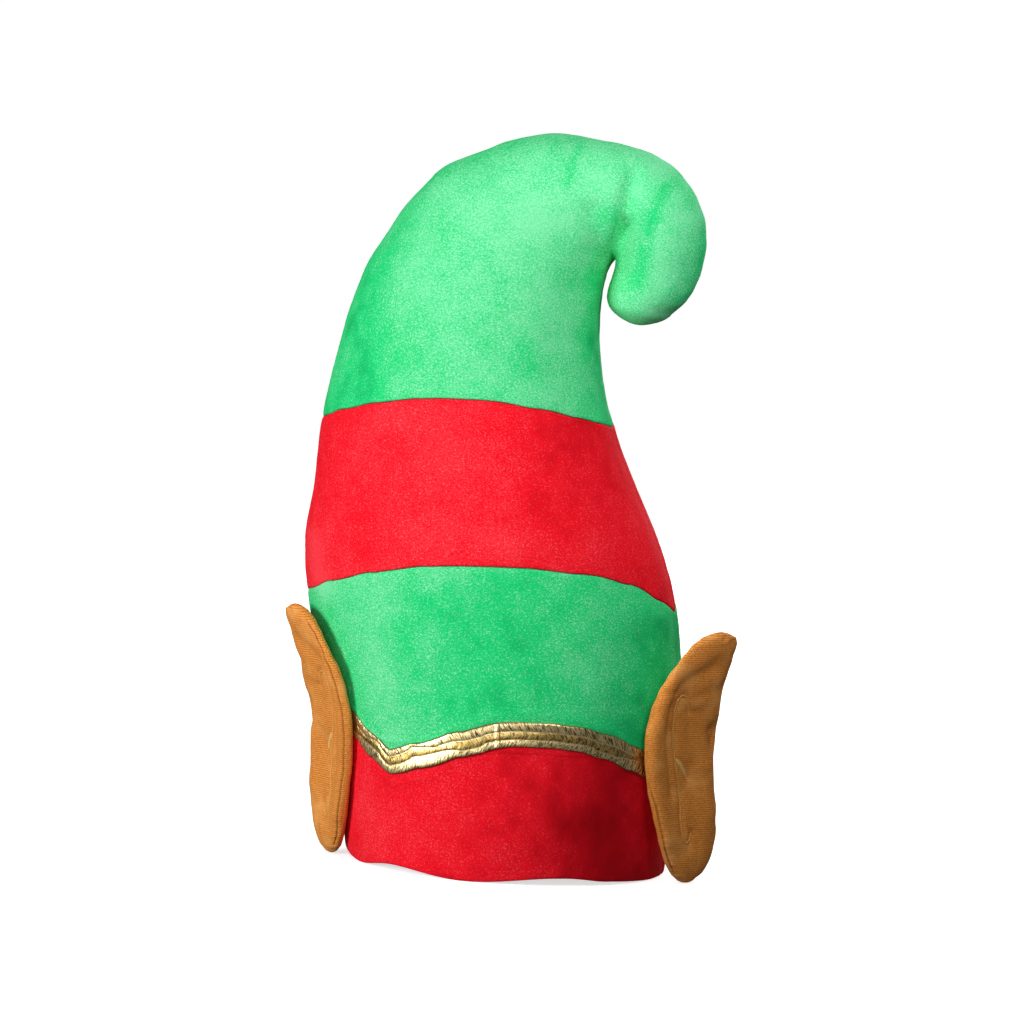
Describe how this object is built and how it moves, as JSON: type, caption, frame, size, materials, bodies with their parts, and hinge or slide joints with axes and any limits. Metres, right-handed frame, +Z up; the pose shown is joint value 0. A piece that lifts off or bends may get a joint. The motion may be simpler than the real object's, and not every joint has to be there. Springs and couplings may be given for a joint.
{
  "type": "elf hat",
  "caption": "Tall soft elf hat of red and green velour with a gold ribbon laid in points, stuffed knitted ears at the sides and a peak that bends over and curls down at its tip.",
  "frame": {"origin": "on the surface that the hat stands on, under the middle of its bounding box", "axes": "+Z up, the front of the hat faces -Y, the wearer's left ear and the curl are towards +X"},
  "size_m": [0.261, 0.1958, 0.4216],
  "materials": {
    "red_velour": "short soft pile with a sheen",
    "green_velour": "short soft pile with a sheen",
    "gold_ribbon": "woven ribbon of pale gold foil yarn",
    "tan_knit": "matt fine knit over stuffing"
  },
  "bodies": {
    "root": {"brow_band": "red_velour", "gold_trim": "gold_ribbon", "green_band": "green_velour", "red_band": "red_velour", "green_peak": "green_velour", "ear_left": "tan_knit", "ear_right": "tan_knit"}
  },
  "joints": []
}
